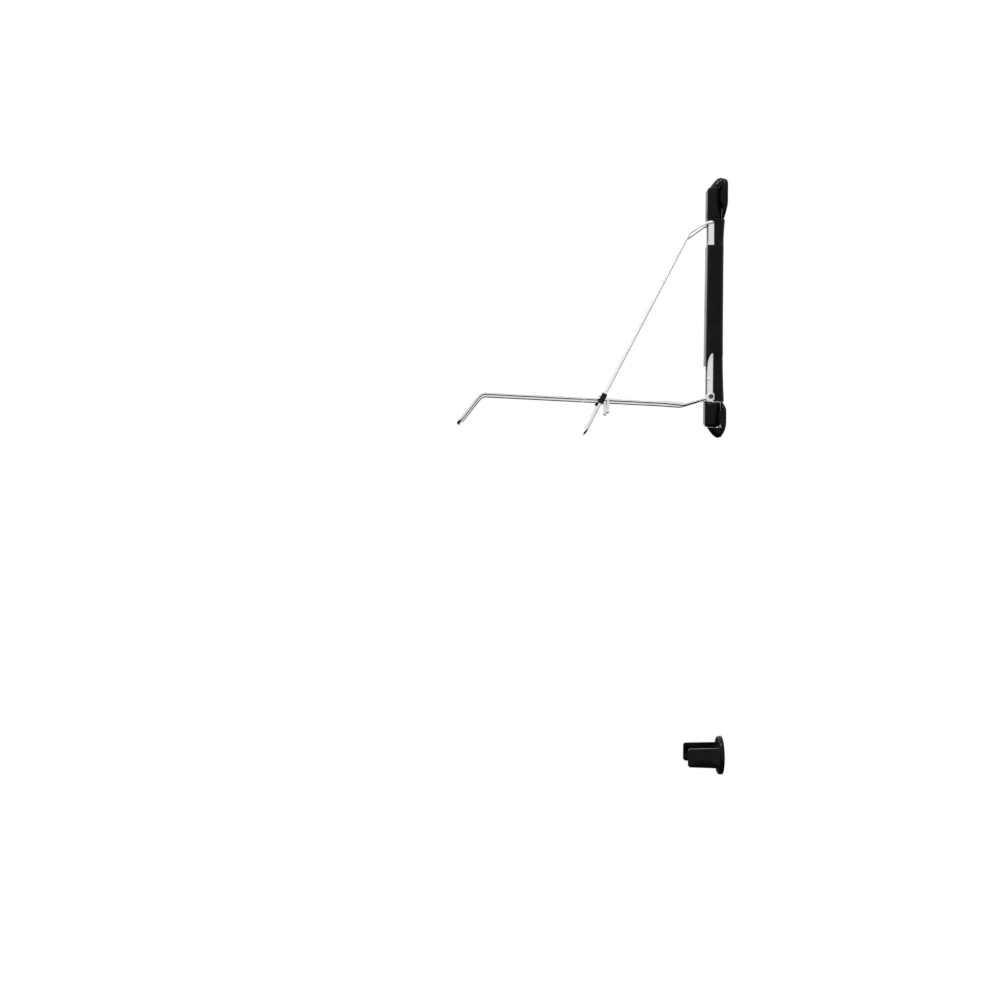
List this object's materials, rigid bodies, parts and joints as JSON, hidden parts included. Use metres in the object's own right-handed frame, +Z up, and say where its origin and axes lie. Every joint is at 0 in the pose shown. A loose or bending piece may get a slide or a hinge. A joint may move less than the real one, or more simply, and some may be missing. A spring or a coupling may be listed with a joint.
{
  "type": "bicycle wall rack",
  "caption": "Vertical bicycle wall rack: swivelling column with folding wire arms for the front wheel, and a forked rear tyre bracket.",
  "frame": {"origin": "centre of the lower bracket's wall pad, on the wall plane", "axes": "+Y into the wall, +Z up, +X to the right seen from the room; the arms reach towards -Y"},
  "size_m": [0.1072, 0.6384, 1.4248],
  "materials": {
    "gloss_black": "deep gloss black moulding",
    "satin_black": "fine satin black moulding",
    "bright_zinc": "bright zinc plated steel",
    "dark_steel": "black oxide steel",
    "nylon": "natural nylon"
  },
  "bodies": {
    "wall_brackets": {"top_bracket": "gloss_black", "bottom_bracket": "gloss_black", "top_pivot_pin": "dark_steel", "bottom_pivot_pin": "dark_steel", "wall_screw_1": "dark_steel", "wall_screw_2": "dark_steel", "wall_screw_3": "dark_steel", "wall_screw_4": "dark_steel", "tail_bracket": "gloss_black", "tail_screw_1": "dark_steel", "tail_screw_2": "dark_steel"},
    "column": {"column_channel": "bright_zinc", "rear_shell": "satin_black", "front_cover": "gloss_black", "head": "gloss_black", "foot": "gloss_black", "head_collar": "satin_black", "foot_collar": "satin_black", "top_bush": "nylon", "bottom_bush": "nylon", "hinge_block": "satin_black", "hinge_bolt": "dark_steel", "hinge_nut": "dark_steel", "channel_rivet_left": "bright_zinc", "channel_rivet_right": "bright_zinc"},
    "lower_arm": {"lower_loop": "bright_zinc", "hinge_plate_left": "bright_zinc", "hinge_plate_right": "bright_zinc", "stop_post_left": "bright_zinc", "stop_post_right": "bright_zinc", "guide_rivet_left": "dark_steel", "guide_rivet_right": "dark_steel"},
    "upper_arm": {"upper_loop": "bright_zinc"},
    "guide_left": {"guide_left": "satin_black"},
    "guide_right": {"guide_right": "satin_black"}
  },
  "joints": [
    {"name": "column_swivel", "type": "hinge", "parent": "wall_brackets", "child": "column", "pos_m": [0, -0.029, 0.25], "axis": [0, 0, 1], "range_deg": [-75, 75]},
    {"name": "lower_arm_fold", "type": "hinge", "parent": "column", "child": "lower_arm", "pos_m": [0, -0.0345, 0.0497], "axis": [-1, 0, 0], "range_deg": [0, 83.87]},
    {"name": "upper_arm_fold", "type": "hinge", "parent": "column", "child": "upper_arm", "pos_m": [0, -0.034, 0.464], "axis": [1, 0, 0], "range_deg": [0, 27.3]},
    {"name": "guide_left_turn", "type": "hinge", "parent": "lower_arm", "child": "guide_left", "pos_m": [-0.045, -0.29416, 0.0402], "axis": [1, 0, 0], "range_deg": [0, 111.2]},
    {"name": "guide_right_turn", "type": "hinge", "parent": "lower_arm", "child": "guide_right", "pos_m": [0.045, -0.29416, 0.0402], "axis": [1, 0, 0], "range_deg": [0, 111.2]}
  ],
  "couplings": [
    {"joint": "upper_arm_fold", "follows": "lower_arm_fold", "ratio": 0.3243},
    {"joint": "guide_left_turn", "follows": "lower_arm_fold", "ratio": 1.3243},
    {"joint": "guide_right_turn", "follows": "lower_arm_fold", "ratio": 1.3243}
  ]
}
